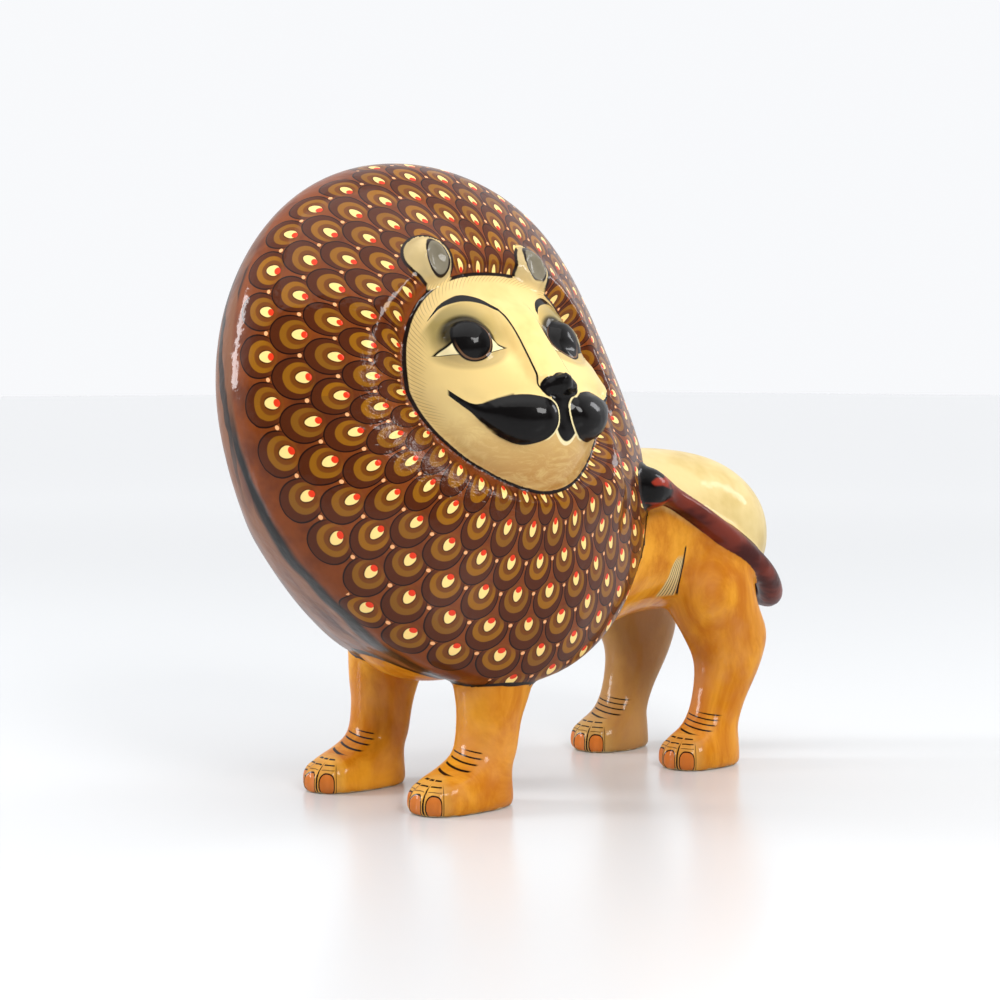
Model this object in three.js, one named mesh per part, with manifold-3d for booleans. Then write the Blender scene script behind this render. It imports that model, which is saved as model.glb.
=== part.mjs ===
// A standing lion of papier-mache, made and painted as one hollow shell and modelled here as one solid.
// Millimetres, +Z up. The lion walks towards -Y with its head turned to its own left, towards +X.
// The origin is on the floor, under the middle of the figure's own box.
import * as THREE from "three";
import { mergeVertices } from "three/addons/utils/BufferGeometryUtils.js";
import Module from "manifold-3d";

const wasm = await Module();
wasm.setup();

// Driving sizes of the whole figure
const figureHeight = 563; // from the soles to the top of the mane; the legs take up a change
const bodyLength = 481; // from chest to rump; the rear legs and the tail go with the rump
const maneWidth = 406; // across the mane's rim
const headTurn = THREE.MathUtils.degToRad(84); // how far the head looks round from straight ahead
const maneLean = THREE.MathUtils.degToRad(12); // how far the mane's rim leans back at the top
const maneCentre = new THREE.Vector3(-2, -125, 331.5); // middle of the mane's rim
const headTilt = 0.075; // the top of the head stands this much to the viewer's left of its bottom
const eyeSpacing = 98;
const earSpacing = 106;
const eyeLevel = 44; // above the middle of the mane, like the other levels on the head
const noseLevel = -3;
const lipLevel = -43;
const earLevel = 114;
const muzzleReach = 184; // how far out from the middle of the mane the muzzle stands
const maneBackReach = -100; // and the back of the shell

// The stations below are drawn for these sizes, and are stretched where the sizes above differ.
const drawn = { height: 563, length: 481, chest: 205, maneWidth: 406, muzzle: 184 };
const faceEdge = { width: 105, reach: 100 }; // the mane spreads outside this, the face reaches out beyond it
const ankle = 48;
const legTop = 140;

const ramp = (value, from, to) => Math.min(1, Math.max(0, (value - from) / (to - from)));
const lifted = (z) => z + (figureHeight - drawn.height) * ramp(z, ankle, legTop);
const lengthened = (y) => (y <= 0 ? y : (y * (bodyLength - drawn.chest)) / (drawn.length - drawn.chest));
const beyond = (value, edge, wanted, asDrawn) =>
  Math.abs(value) < edge
    ? value
    : Math.sign(value) * (edge + ((Math.abs(value) - edge) * (wanted - edge)) / (asDrawn - edge));
const spread = (s) => beyond(s, faceEdge.width, maneWidth / 2, drawn.maneWidth / 2);
const reached = (h) => (h < 0 ? h : beyond(h, faceEdge.reach, muzzleReach, drawn.muzzle));
const footPlaces = {
  frontRight: [-72, -160],
  frontLeft: [71, -155],
  rearRight: [-63, 159],
  rearLeft: [65, 154],
};

// Resolution
const maneSides = 46;
const legSides = 18;
const bodySides = 24;
const tailSides = 10;
const lumpSides = 16;
const moustacheSides = 12;

// Catmull-Rom values between rows of numbers, so that a few stations make a smooth outline.
function smoothRows(rows, stepsBetween) {
  const out = [];
  for (let i = 0; i < rows.length - 1; i++) {
    const [a, b, c, d] = [rows[Math.max(0, i - 1)], rows[i], rows[i + 1], rows[Math.min(rows.length - 1, i + 2)]];
    for (let k = 0; k < stepsBetween; k++) {
      const t = k / stepsBetween;
      out.push(
        b.map((_, j) => {
          const [p, q, r, s] = [a[j], b[j], c[j], d[j]];
          return 0.5 * (2 * q + (r - p) * t + (2 * p - 5 * q + 4 * r - s) * t * t + (3 * q - p - 3 * r + s) * t ** 3);
        }),
      );
    }
  }
  out.push(rows[rows.length - 1]);
  return out;
}

// A closed solid through rings of equal length, with a fan to a pole at each end.
function loft(rings, firstPole, lastPole) {
  const n = rings[0].length;
  const points = [firstPole, ...rings.flat(), lastPole];
  const last = points.length - 1;
  const faces = [];
  for (let k = 0; k < n; k++) {
    const next = (k + 1) % n;
    faces.push(0, 1 + next, 1 + k);
    for (let r = 0; r < rings.length - 1; r++) {
      const [a, b] = [1 + r * n + k, 1 + r * n + next];
      const [c, d] = [a + n, b + n];
      faces.push(a, b, d, a, d, c);
    }
    faces.push(last, last - n + k, last - n + next);
  }
  const geometry = new THREE.BufferGeometry().setFromPoints(points);
  geometry.setIndex(faces);
  return solidOf(geometry);
}

// A closed geometry as a manifold-3d solid that faces outwards.
function solidOf(geometry) {
  geometry.deleteAttribute("normal");
  geometry.deleteAttribute("uv");
  const merged = mergeVertices(geometry, 1e-3);
  const triVerts = new Uint32Array(merged.index.array);
  const make = () =>
    new wasm.Manifold(
      new wasm.Mesh({ numProp: 3, vertProperties: merged.attributes.position.array, triVerts }),
    );
  const made = make();
  if (made.volume() > 0) return made;
  for (let i = 0; i < triVerts.length; i += 3) [triVerts[i + 1], triVerts[i + 2]] = [triVerts[i + 2], triVerts[i + 1]];
  return make();
}

const power = (value, exponent) => Math.sign(value) * Math.abs(value) ** exponent;

// The frame of the turned head: across is to the viewer's right, out points from the face to the viewer.
const across = new THREE.Vector3(Math.cos(headTurn), Math.sin(headTurn), 0);
const out = new THREE.Vector3(
  Math.sin(headTurn) * Math.cos(maneLean),
  -Math.cos(headTurn) * Math.cos(maneLean),
  Math.sin(maneLean),
);
const up = new THREE.Vector3().crossVectors(out, across);

// The cheek to the viewer's right is a little wider and fuller than the other one.
const farCheekWidth = 9;
const farCheekFullness = 15;

// A place on the head: s to the viewer's right, t up, h out, all from the middle of the mane.
function onHead(s, t, h) {
  const cheek = ramp(s, 5, 70) * ramp(t, 75, 15) * ramp(t, -125, -85) * ramp(h, 60, 95);
  const acrossBy = spread(s) - headTilt * (t - 30) + farCheekWidth * cheek * ramp(s, 170, 105);
  const outBy = reached(h) + farCheekFullness * cheek * ramp(s, 105, 85);
  const middle = maneCentre.clone().setZ(lifted(maneCentre.z));
  return middle.addScaledVector(across, acrossBy).addScaledVector(up, t).addScaledVector(out, outBy);
}

// The mane, ring by ring: from the back of the shell, over the rim and up the dome to the crest round the face.
// Each station: half width, top, bottom, middle height, then how far out its side, top and bottom stand.
const maneStations = [
  [40, 10, -100, -45, -98, -94, -118],
  [84, 74, -140, -34, -92, -84, -142],
  [130, 130, -178, -20, -78, -68, -144],
  [170, 182, -200, -8, -56, -46, -124],
  [192, 216, -212, 0, -30, -24, -84],
  [201, 232, -224, 0, -8, -4, -30],
  [203, 233, -240, 0, 24, 20, 44],
  [190, 219, -224, 0, 52, 52, 74],
  [163, 188, -190, 3, 76, 82, 100],
  [138, 154, -148, 6, 92, 106, 124],
  [119, 124, -102, 9, 101, 121, 146],
  [105, 114, -93, 10, 100, 121, 146],
  [93, 107, -86, 10, 94, 116, 140],
];

// The face inside that border: from its dark outline over forehead and cheeks to the muzzle.
const faceStations = [
  [90, 102, -83, 10, 98, 121, 146],
  [78, 84, -74, 8, 122, 134, 156],
  [60, 62, -62, 2, 142, 147, 168],
  [42, 34, -52, -10, 157, 162, 176],
  [28, 10, -42, -16, 170, 174, 182],
  [14, -6, -30, -18, 180, 182, 183],
];
const chinPinch = 0.27; // how much the lower corners of the face are drawn in towards the chin
const browSquareness = 0.78; // exponent that squares the top of the face
const maneSway = 12; // how far the mane's rim bulges to the viewer's left above and to the right below
const chinLine = -125; // where the bulge changes sides on the viewer's left, in the middle of a soft stretch

function headRing([half, top, bottom, middle, outSide, outTop, outBottom], faceness) {
  const rimness = Math.min(1, Math.max(0, (half - 100) / 80));
  const [square, pinch] = [1 + (browSquareness - 1) * faceness, chinPinch * faceness];
  return Array.from({ length: maneSides }, (_, k) => {
    const angle = (2 * Math.PI * k) / maneSides;
    const exponent = Math.sin(angle) > 0 ? square : 1;
    const [c, d] = [power(Math.cos(angle), exponent), power(Math.sin(angle), exponent)];
    const t = middle + (d > 0 ? top - middle : middle - bottom) * d;
    const h = outSide + ((d > 0 ? outTop : outBottom) - outSide) * d * d;
    const swell = Math.sin((Math.PI * (t + 40)) / 240);
    const bulge =
      c < 0 ? 1.2 * ramp(t, chinLine - 40, chinLine + 40) - 0.5 : swell > 0 ? swell * (1 + c / 2) : swell / 2;
    const sway = maneSway * rimness * bulge * Math.abs(c);
    return onHead(half * c * (1 - pinch * Math.max(0, -d)) - sway, t, h);
  });
}

// Only the front rings close to the face take its shape.
function head() {
  const rimIndex = 2 * maneStations.findIndex(([half], i) => half < maneStations[Math.max(0, i - 1)][0]);
  const faceness = ([half], i) => (i < rimIndex ? 0 : Math.min(1, Math.max(0, (138 - half) / 26)));
  const rings = [
    ...smoothRows(maneStations, 2).map((row, i) => headRing(row, faceness(row, i))),
    ...smoothRows(faceStations, 2).map((row) => headRing(row, 1)),
  ];
  const [back, muzzle] = [maneStations[0][3], faceStations.at(-1)[3]];
  return loft(rings, onHead(0, back, maneBackReach), onHead(0, muzzle, drawn.muzzle));
}

// A lump of pulp on the head: its middle, then its half width, half height and half depth.
// It leans back by lean, faces to the viewer's right by look and is turned in its own plane by turn.
function lump([s, t, h], [wide, high, deep], { turn = 0, lean = 0, look = 0 } = {}) {
  const ball = new THREE.SphereGeometry(1, lumpSides, (lumpSides * 5) / 8);
  ball.applyMatrix4(new THREE.Matrix4().makeScale(wide, high, deep));
  ball.applyMatrix4(new THREE.Matrix4().makeRotationX(-lean));
  ball.applyMatrix4(new THREE.Matrix4().makeRotationY(look));
  ball.applyMatrix4(new THREE.Matrix4().makeRotationZ(turn));
  ball.applyMatrix4(new THREE.Matrix4().makeBasis(across, up, out));
  const middle = onHead(s, t, h);
  ball.applyMatrix4(new THREE.Matrix4().makeTranslation(middle.x, middle.y, middle.z));
  return solidOf(ball);
}

// Half of the moustache, from the lip out to its raised tip.
// Each station: out from the middle of the face, height, reach, half height, half depth.
const moustacheStations = [
  [2, -26, 172, 9, 8],
  [10, -27, 171, 16, 14],
  [24, -27, 166, 19.5, 17],
  [38, -25, 158, 18.5, 16],
  [50, -18, 150, 13, 13],
  [60, -9, 141, 6.5, 9],
  [68, 0, 134, 3, 6],
  [74, 7, 128, 1.5, 4],
];

function moustache(side) {
  const rings = moustacheStations.map(([s, t, h, high, deep]) =>
    Array.from({ length: moustacheSides }, (_, k) => {
      const angle = (2 * Math.PI * k) / moustacheSides;
      return onHead(side * s, t + high * Math.sin(angle), h + deep * Math.cos(angle));
    }),
  );
  const end = ([s, t, h]) => onHead(side * s, t, h);
  return loft(rings, end(moustacheStations[0]), end(moustacheStations.at(-1)));
}

// Raised parts of the face: both eyes, the nose with its bridge, the moustache and the lip under it.
function features() {
  const bridge = lump([0, eyeLevel - 8, 152], [15, 48, 17], { lean: 0.45 });
  const nose = lump([2, noseLevel, 180], [19, 11, 18]);
  const lip = lump([2, lipLevel, 168], [12, 13, 14]);
  const eyes = [-1, 1].map((side) =>
    lump([(side * eyeSpacing) / 2, eyeLevel, 141], [27, 22, 13], { lean: 0.2, look: side * 0.6 }),
  );
  return [...eyes, bridge, nose, lip, moustache(-1), moustache(1)];
}

// An ear: a thick cup that grows from the corner of the forehead, dished in front.
function ear(side) {
  const cup = lump([(side * earSpacing) / 2, earLevel, 106], [20, 29, 22], { turn: side * -0.12 });
  const dish = lump([(side * earSpacing) / 2, earLevel + 5, 128], [12, 18, 12], { turn: side * -0.12 });
  return cup.subtract(dish);
}

// The body: upright sections along Y. Each station: y, middle height, half width, half height up and down.
const bodyStations = [
  [-205, 190, 30, 40, 40],
  [-190, 190, 62, 80, 66],
  [-150, 196, 90, 120, 92],
  [-60, 205, 92, 115, 96],
  [20, 212, 88, 95, 86],
  [90, 220, 86, 84, 76],
  [150, 224, 88, 80, 76],
  [205, 222, 86, 74, 70],
  [245, 218, 68, 58, 54],
  [268, 214, 42, 36, 34],
  [276, 212, 20, 16, 16],
];

function body() {
  const rings = smoothRows(bodyStations, 2).map(([y, z, half, up, down]) =>
    Array.from({ length: bodySides }, (_, k) => {
      const angle = (2 * Math.PI * k) / bodySides;
      const [c, d] = [power(Math.cos(angle), 0.9), power(Math.sin(angle), 0.9)];
      return new THREE.Vector3(half * c, lengthened(y), lifted(z) + (d > 0 ? up : down) * d);
    }),
  );
  const [first, last] = [bodyStations[0], bodyStations.at(-1)];
  const pole = (y, z) => new THREE.Vector3(0, lengthened(y), lifted(z));
  return loft(rings, pole(first[0] - 4, first[1]), pole(last[0] + 2, last[1]));
}

// Legs: level sections. Each station: height, y from the foot's middle, x outwards, half length, half width.
const frontLegStations = [
  [0, 0, 0, 50, 29],
  [4, 0, 0, 52, 31],
  [16, 0, 0, 51, 31],
  [26, 5, 0, 45, 30],
  [36, 17, 0, 33, 28],
  [48, 27, 0, 27, 27],
  [75, 32, 0, 28, 27],
  [100, 36, 0, 34, 30],
  [140, 41, -6, 43, 37],
  [185, 42, -16, 52, 42],
];
const rearLegStations = [
  [0, 0, 0, 41, 28],
  [4, 0, 0, 43, 30],
  [16, 0, 0, 42, 30],
  [26, 4, 0, 38, 28],
  [38, 14, 0, 27, 25],
  [60, 25, 0, 27, 23],
  [95, 38, 0, 35, 27],
  [125, 35, -1, 47, 31],
  [160, 18, -6, 48, 40],
  [200, 14, -16, 52, 46],
  [240, 16, -26, 50, 40],
];

function leg(stations, [footX, footY]) {
  const side = Math.sign(footX);
  const rings = smoothRows(stations, 2).map(([z, y, x, long, wide]) =>
    Array.from({ length: legSides }, (_, k) => {
      const angle = (2 * Math.PI * k) / legSides;
      const [c, d] = [power(Math.cos(angle), 0.86), power(Math.sin(angle), 0.86)];
      return new THREE.Vector3(footX + side * x + wide * c, lengthened(footY) + y + long * d, lifted(z));
    }),
  );
  const [first, last] = [stations[0], stations.at(-1)];
  const middle = ([z, y, x]) => new THREE.Vector3(footX + side * x, lengthened(footY) + y, lifted(z));
  return loft(rings, middle(first), middle(last).setZ(lifted(last[0] + 6)));
}

// The tail lies up the left flank, from the rump to the mane. Each station: x, y, z, radius.
const tailStations = [
  [0, 262, 178, 12],
  [24, 276, 160, 13],
  [56, 264, 158, 13],
  [80, 226, 184, 12],
  [90, 176, 214, 11],
  [94, 124, 243, 10],
  [92, 88, 262, 10],
  [92, 66, 267, 12],
  [90, 50, 270, 14],
  [88, 34, 276, 9],
  [86, 22, 282, 3],
];

function tail() {
  const rows = smoothRows(tailStations, 2).map(([x, y, z, r]) => [x, lengthened(y), lifted(z), r]);
  const at = (i) => new THREE.Vector3(...rows[Math.min(rows.length - 1, Math.max(0, i))].slice(0, 3));
  const rings = rows.map((row, i) => {
    const along = at(i + 1).sub(at(i - 1)).normalize();
    const side = new THREE.Vector3(1, 0, 0).addScaledVector(along, -along.x).normalize();
    const other = new THREE.Vector3().crossVectors(along, side);
    return Array.from({ length: tailSides }, (_, k) => {
      const angle = (2 * Math.PI * k) / tailSides;
      return at(i)
        .addScaledVector(side, row[3] * Math.cos(angle))
        .addScaledVector(other, row[3] * Math.sin(angle));
    });
  });
  return loft(rings, at(0), at(rows.length - 1));
}

function lion() {
  const legs = [
    leg(frontLegStations, footPlaces.frontRight),
    leg(frontLegStations, footPlaces.frontLeft),
    leg(rearLegStations, footPlaces.rearRight),
    leg(rearLegStations, footPlaces.rearLeft),
  ];
  const pieces = [body(), ...legs, head(), ...features(), ear(-1), ear(1), tail()];
  const whole = pieces.reduce((joined, piece) => joined.add(piece));
  const { min, max } = whole.boundingBox();
  return whole.translate([-(min[0] + max[0]) / 2, -(min[1] + max[1]) / 2, -min[2]]);
}

const solid = lion().getMesh();
const geometry = new THREE.BufferGeometry();
geometry.setAttribute("position", new THREE.BufferAttribute(new Float32Array(solid.vertProperties), 3));
geometry.setIndex(new THREE.BufferAttribute(new Uint32Array(solid.triVerts), 1));
geometry.computeVertexNormals();

const paint = new THREE.MeshStandardMaterial({ color: 0xb5762f, roughness: 0.3, metalness: 0 });
const figure = new THREE.Mesh(geometry, paint);
figure.name = "lion";

const group = new THREE.Group();
group.add(figure);

export default group;
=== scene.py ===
import math

import bpy
import numpy as np
from mathutils import Matrix, Vector
from mathutils.bvhtree import BVHTree


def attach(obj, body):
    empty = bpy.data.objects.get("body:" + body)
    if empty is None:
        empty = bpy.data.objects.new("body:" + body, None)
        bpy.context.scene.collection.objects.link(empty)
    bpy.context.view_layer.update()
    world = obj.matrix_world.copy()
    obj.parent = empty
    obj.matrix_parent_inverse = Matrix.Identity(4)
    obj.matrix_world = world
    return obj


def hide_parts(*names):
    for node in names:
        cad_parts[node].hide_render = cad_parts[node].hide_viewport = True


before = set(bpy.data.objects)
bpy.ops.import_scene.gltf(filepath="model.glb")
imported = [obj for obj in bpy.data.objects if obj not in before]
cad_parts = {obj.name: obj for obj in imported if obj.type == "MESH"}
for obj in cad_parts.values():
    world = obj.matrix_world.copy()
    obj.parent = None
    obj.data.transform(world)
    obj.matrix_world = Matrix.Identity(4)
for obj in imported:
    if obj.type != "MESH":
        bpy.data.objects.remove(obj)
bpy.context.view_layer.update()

# The stand: a plain pale floor that brightens with distance by a glow of its own, a painted light, so that it runs
# into the room without a hard edge.
# The camera looks at the figure from ahead and from its left. The room is bright, dim only behind the camera,
# and tall windows at the left and the back shine in the varnish.
camera_place = (1.4407, -1.3477, 0.377)
camera_turn, camera_dip = math.radians(48.2), math.radians(3.35)
bpy.ops.object.select_all(action="DESELECT")
bpy.ops.object.camera_add(location=camera_place)
camera = bpy.context.object
looking = Vector((-math.sin(camera_turn), math.cos(camera_turn), -math.tan(camera_dip)))
camera.rotation_mode = "QUATERNION"
camera.rotation_quaternion = looking.to_track_quat("-Z", "Y")
camera.data.lens = 78.05
camera.data.sensor_width = 36
camera.data.clip_end = 100
bpy.context.scene.camera = camera
bpy.context.scene.view_settings.view_transform = "Standard"

daylight = (0.97, 0.98, 1.0)
bpy.ops.mesh.primitive_plane_add(size=60, location=(0, 0, 0))
floor = bpy.context.object
floor.name = "floor"
floor_paint = bpy.data.materials.new("floor_white")
floor_paint.use_nodes = True
floor_nodes = floor_paint.node_tree
floor_shader = floor_nodes.nodes["Principled BSDF"]
floor_shader.inputs["Base Color"].default_value = (0.62, 0.63, 0.64, 1)
floor_shader.inputs["Roughness"].default_value = 0.25
floor_shader.inputs["Emission Color"].default_value = (*daylight, 1)
from_figure = floor_nodes.nodes.new("ShaderNodeVectorMath")
from_figure.operation = "LENGTH"
floor_place = floor_nodes.nodes.new("ShaderNodeNewGeometry").outputs["Position"]
floor_nodes.links.new(floor_place, from_figure.inputs[0])
# Painted light: the floor glows more the further it lies from the figure.
far_floor_glow = floor_nodes.nodes.new("ShaderNodeMapRange")
far_floor_glow.interpolation_type = "SMOOTHSTEP"
for name, value in (("From Min", 0.6), ("From Max", 5.0), ("To Min", 0.0), ("To Max", 0.19)):
    far_floor_glow.inputs[name].default_value = value
floor_nodes.links.new(from_figure.outputs["Value"], far_floor_glow.inputs["Value"])
floor_nodes.links.new(far_floor_glow.outputs["Result"], floor_shader.inputs["Emission Strength"])
floor.data.materials.append(floor_paint)

world = bpy.data.worlds.new("bright_room")
world.use_nodes = True
room = world.node_tree
sky = room.nodes["Background"]
sky.inputs["Color"].default_value = (*daylight, 1)
direction = room.nodes.new("ShaderNodeTexCoord").outputs["Generated"]
toward_shade = room.nodes.new("ShaderNodeVectorMath")
toward_shade.operation = "DOT_PRODUCT"
toward_shade.inputs[1].default_value = (0.72, -0.65, -0.25)
room.links.new(direction, toward_shade.inputs[0])
fading = room.nodes.new("ShaderNodeMapRange")
fading.interpolation_type = "SMOOTHSTEP"
for name, value in (("From Min", 0.0), ("From Max", 0.5), ("To Min", 0.97), ("To Max", 0.14)):
    fading.inputs[name].default_value = value
room.links.new(toward_shade.outputs["Value"], fading.inputs["Value"])
room.links.new(fading.outputs["Result"], sky.inputs["Strength"])
bpy.context.scene.world = world


def window_light(name, place, target, wide, tall, power, tint):
    bpy.ops.object.light_add(type="AREA", location=place)
    lamp = bpy.context.object
    lamp.name = name
    lamp.rotation_mode = "QUATERNION"
    lamp.rotation_quaternion = (Vector(target) - Vector(place)).to_track_quat("-Z", "Y")
    lamp.data.shape = "RECTANGLE"
    lamp.data.size, lamp.data.size_y = wide, tall
    lamp.data.energy = power
    lamp.data.color = tint


window_light("left_window", (-2.1, -2.0, 1.3), (0, -0.1, 0.35), 0.6, 1.5, 58, daylight)
window_light("back_window", (0.8, 2.7, 1.7), (0.04, -0.2, 0.36), 0.6, 1.2, 22, daylight)
window_light("ceiling", (0.6, -0.6, 3.2), (0, 0, 0.3), 3.4, 3.4, 46, (1.0, 0.99, 0.98))
window_light("front_right", (2.5, -0.8, 1.9), (0, -0.1, 0.3), 1.0, 1.0, 60, (1.0, 0.99, 0.97))

# The head: one hollow bowl of pasted paper, wider than the body, that carries the mane and the face.
# It is drawn out ring by ring, from its back over the rim and up the dome to the crest round the face.
head_turn, mane_lean, head_tilt = math.radians(84), math.radians(12), 0.075
head_middle = np.array((-42.7, -101.7, 331.5))
across = np.array((math.cos(head_turn), math.sin(head_turn), 0))
outward = np.array(
    (
        math.sin(head_turn) * math.cos(mane_lean),
        -math.cos(head_turn) * math.cos(mane_lean),
        math.sin(mane_lean),
    )
)
upward = np.cross(outward, across)
mane_rings = [
    (40, 10, -100, -45, -98, -94, -118),
    (84, 74, -140, -34, -92, -84, -142),
    (130, 130, -178, -20, -78, -68, -144),
    (170, 182, -200, -8, -56, -46, -124),
    (192, 216, -212, 0, -30, -24, -84),
    (201, 232, -224, 0, -8, -4, -30),
    (203, 233, -240, 0, 24, 20, 44),
    (190, 219, -224, 0, 52, 52, 74),
    (163, 188, -190, 3, 76, 82, 100),
    (138, 154, -148, 6, 92, 106, 124),
    (119, 124, -102, 9, 101, 121, 146),
    (105, 114, -93, 10, 100, 121, 146),
    (93, 107, -86, 10, 94, 116, 140),
]
face_rings = [
    (90, 102, -83, 10, 98, 121, 146),
    (78, 84, -74, 8, 122, 134, 156),
    (60, 62, -62, 2, 142, 147, 168),
    (42, 34, -52, -10, 157, 162, 176),
    (28, 10, -42, -16, 170, 174, 182),
    (14, -6, -30, -18, 180, 182, 183),
]
chin_pinch, brow_squareness, mane_sway, chin_line = 0.27, 0.78, 12, -125
far_cheek_width, far_cheek_fullness = 9, 15


def ramp(value, start, end):
    return np.clip((np.asarray(value, float) - start) / (end - start), 0, 1)


def cheek_shift(s, t, h):
    """The cheek to the viewer's right is a little wider and fuller than the other one."""
    cheek = ramp(s, 5, 70) * ramp(t, 45, 5) * ramp(t, -125, -85) * ramp(h, 60, 95)
    return far_cheek_width * cheek * ramp(s, 170, 105), far_cheek_fullness * cheek * ramp(s, 105, 85)


def on_head(s, t, h):
    """A place on the head: s to the viewer's right, t up, h out, from the middle of the mane."""
    s, t, h = (np.asarray(a, float) for a in (s, t, h))
    wider, fuller = cheek_shift(s, t, h)
    s = (s - head_tilt * (t - 30) + wider)[..., None]
    return head_middle + s * across + t[..., None] * upward + (h + fuller)[..., None] * outward


def between_rows(rows, steps):
    """Smooth in-between rows, so that a few stations make a rounded form."""
    rows = np.array(rows, float)
    padded = np.concatenate([rows[:1], rows, rows[-1:]])
    made = []
    for a, b, c, d in zip(padded, padded[1:], padded[2:], padded[3:]):
        for t in np.arange(steps) / steps:
            made.append(
                0.5
                * (2 * b + (c - a) * t + (2 * a - 5 * b + 4 * c - d) * t * t + (3 * b - a - 3 * c + d) * t**3)
            )
    return np.array(made + [rows[-1]])


def power(value, exponent):
    return np.sign(value) * np.abs(value) ** exponent


def head_ring(row, sides, faceness):
    half, top, bottom, middle, out_side, out_top, out_bottom = row
    angle = 2 * math.pi * np.arange(sides) / sides
    square, pinch = 1 + (brow_squareness - 1) * faceness, chin_pinch * faceness
    exponent = np.where(np.sin(angle) > 0, square, 1)
    c, d = power(np.cos(angle), exponent), power(np.sin(angle), exponent)
    t = middle + np.where(d > 0, top - middle, middle - bottom) * d
    h = out_side + (np.where(d > 0, out_top, out_bottom) - out_side) * d * d
    swell = np.sin(math.pi * (t + 40) / 240)
    bulge = np.where(swell > 0, swell * (1 + c / 2), swell / 2)
    bulge = np.where(c < 0, 1.2 * ramp(t, chin_line - 40, chin_line + 40) - 0.5, bulge)
    sway = mane_sway * ramp(half, 100, 180) * bulge * np.abs(c)
    return on_head(half * c * (1 - pinch * np.maximum(0, -d)) - sway, t, h)


def drawn_out(name, rings, first, last):
    """A ball whose rings are drawn out to the rings given, in millimetres, with both of its poles."""
    sides, count = len(rings[0]), len(rings) + 1
    bpy.ops.mesh.primitive_uv_sphere_add(segments=sides, ring_count=count, radius=1)
    ball = bpy.context.object
    ball.name = name
    co = np.empty(len(ball.data.vertices) * 3)
    ball.data.vertices.foreach_get("co", co)
    x, y, z = co.reshape(-1, 3).T
    ring = np.rint(np.arccos(np.clip(z, -1, 1)) / math.pi * count).astype(int)
    side = np.rint(np.arctan2(y, x) / (2 * math.pi) * sides).astype(int) % sides
    table = np.concatenate([[[first] * sides], rings, [[last] * sides]])
    ball.data.vertices.foreach_set("co", (table[ring, side] / 1000).ravel())
    return ball


head_sides, head_steps = 144, 6
widest_ring, border_ring = 6, 12
front_edge, face_border = widest_ring * head_steps, border_ring * head_steps
head_table = []
for i, row in enumerate(between_rows(mane_rings, head_steps)):
    faceness = float(ramp(mane_rings[9][0] - row[0], 0, 26)) if i > front_edge else 0
    head_table.append(head_ring(row, head_sides, faceness))
for row in between_rows(face_rings, head_steps):
    head_table.append(head_ring(row, head_sides, 1))
head_table = np.array(head_table)
head = drawn_out("head", head_table, on_head(0, -45, -100), on_head(0, -18, 184))


def lump(name, middle, radii, turn=0.0, lean=0.0, look=0.0):
    """A pressed lump of pulp on the head: its middle, then its half width, half height and half depth."""
    bpy.ops.mesh.primitive_uv_sphere_add(segments=48, ring_count=24, radius=1)
    made = bpy.context.object
    made.name = name
    shape = Matrix((tuple(across), tuple(upward), tuple(outward))).transposed().to_4x4()
    shape = shape @ Matrix.Rotation(turn, 4, "Z") @ Matrix.Rotation(look, 4, "Y") @ Matrix.Rotation(-lean, 4, "X")
    shape = Matrix.Translation(Vector(on_head(*middle) / 1000)) @ shape
    made.data.transform(shape @ Matrix.Diagonal((*(r / 1000 for r in radii), 1)))
    return made


# The moustache and the other lumps of the face: balls and rolls of paper pulp, pressed on while wet.
# Each half of the moustache is a tapered roll from the lip out to a raised tip on the cheek. The ears are dished.
moustache_stations = [
    (6, -24, 173, 7, 7),
    (9, -26, 173, 13, 12),
    (15, -27, 171, 17.5, 15.5),
    (24, -27, 166, 20, 17.5),
    (33, -26.5, 161, 20, 17),
    (42, -24.5, 156, 16.5, 14.5),
    (50, -21, 149, 11.5, 11.5),
    (57, -17, 142, 6, 8),
    (62, -12, 137, 3, 5.5),
    (68, -5, 132, 2.2, 4.5),
    (74, 3, 127, 1.8, 4),
]
roll_sides, lip_middle = 48, 2
face_lumps, ears = [], []
for side in (-1, 1):
    rolls = []
    for s, t, h, high, deep in between_rows(moustache_stations, 5):
        angle = 2 * math.pi * np.arange(roll_sides) / roll_sides
        along_roll = np.full(roll_sides, lip_middle + side * s)
        rolls.append(on_head(along_roll, t + high * np.sin(angle), h + deep * np.cos(angle)))
    ends = (moustache_stations[0], moustache_stations[-1])
    first, last = ([lip_middle + side * row[0], row[1], row[2]] for row in ends)
    face_lumps.append(drawn_out("moustache", np.array(rolls), on_head(*first), on_head(*last)))
    face_lumps.append(lump("eyeball", (side * 51, 43, 138), (23, 19, 12), lean=0.2, look=side * 0.6))
    face_lumps.append(lump("nose_wing", (4 + side * 9, -4, 174), (8, 8, 14)))
    ear = lump("ear", (-4.5 + side * 50.5, 115.5 - side * 3.5, 107), (20, 21, 21), turn=side * -0.12)
    dish = lump("dish", (-0.5 + side * 51, 118.5 - side * 1.5, 128), (11.5, 16, 9.5), turn=side * -0.12)
    hollow = ear.modifiers.new("hollow", "BOOLEAN")
    hollow.object, hollow.operation, hollow.solver = dish, "DIFFERENCE", "EXACT"
    bpy.context.view_layer.objects.active = ear
    bpy.ops.object.modifier_apply(modifier="hollow")
    bpy.data.objects.remove(dish)
    ears.append(ear)
face_lumps += [
    lump("nose_tip", (4, -2, 180), (9, 9, 15)),
    lump("lip", (3, -37, 166), (12, 12, 14)),
]

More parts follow.
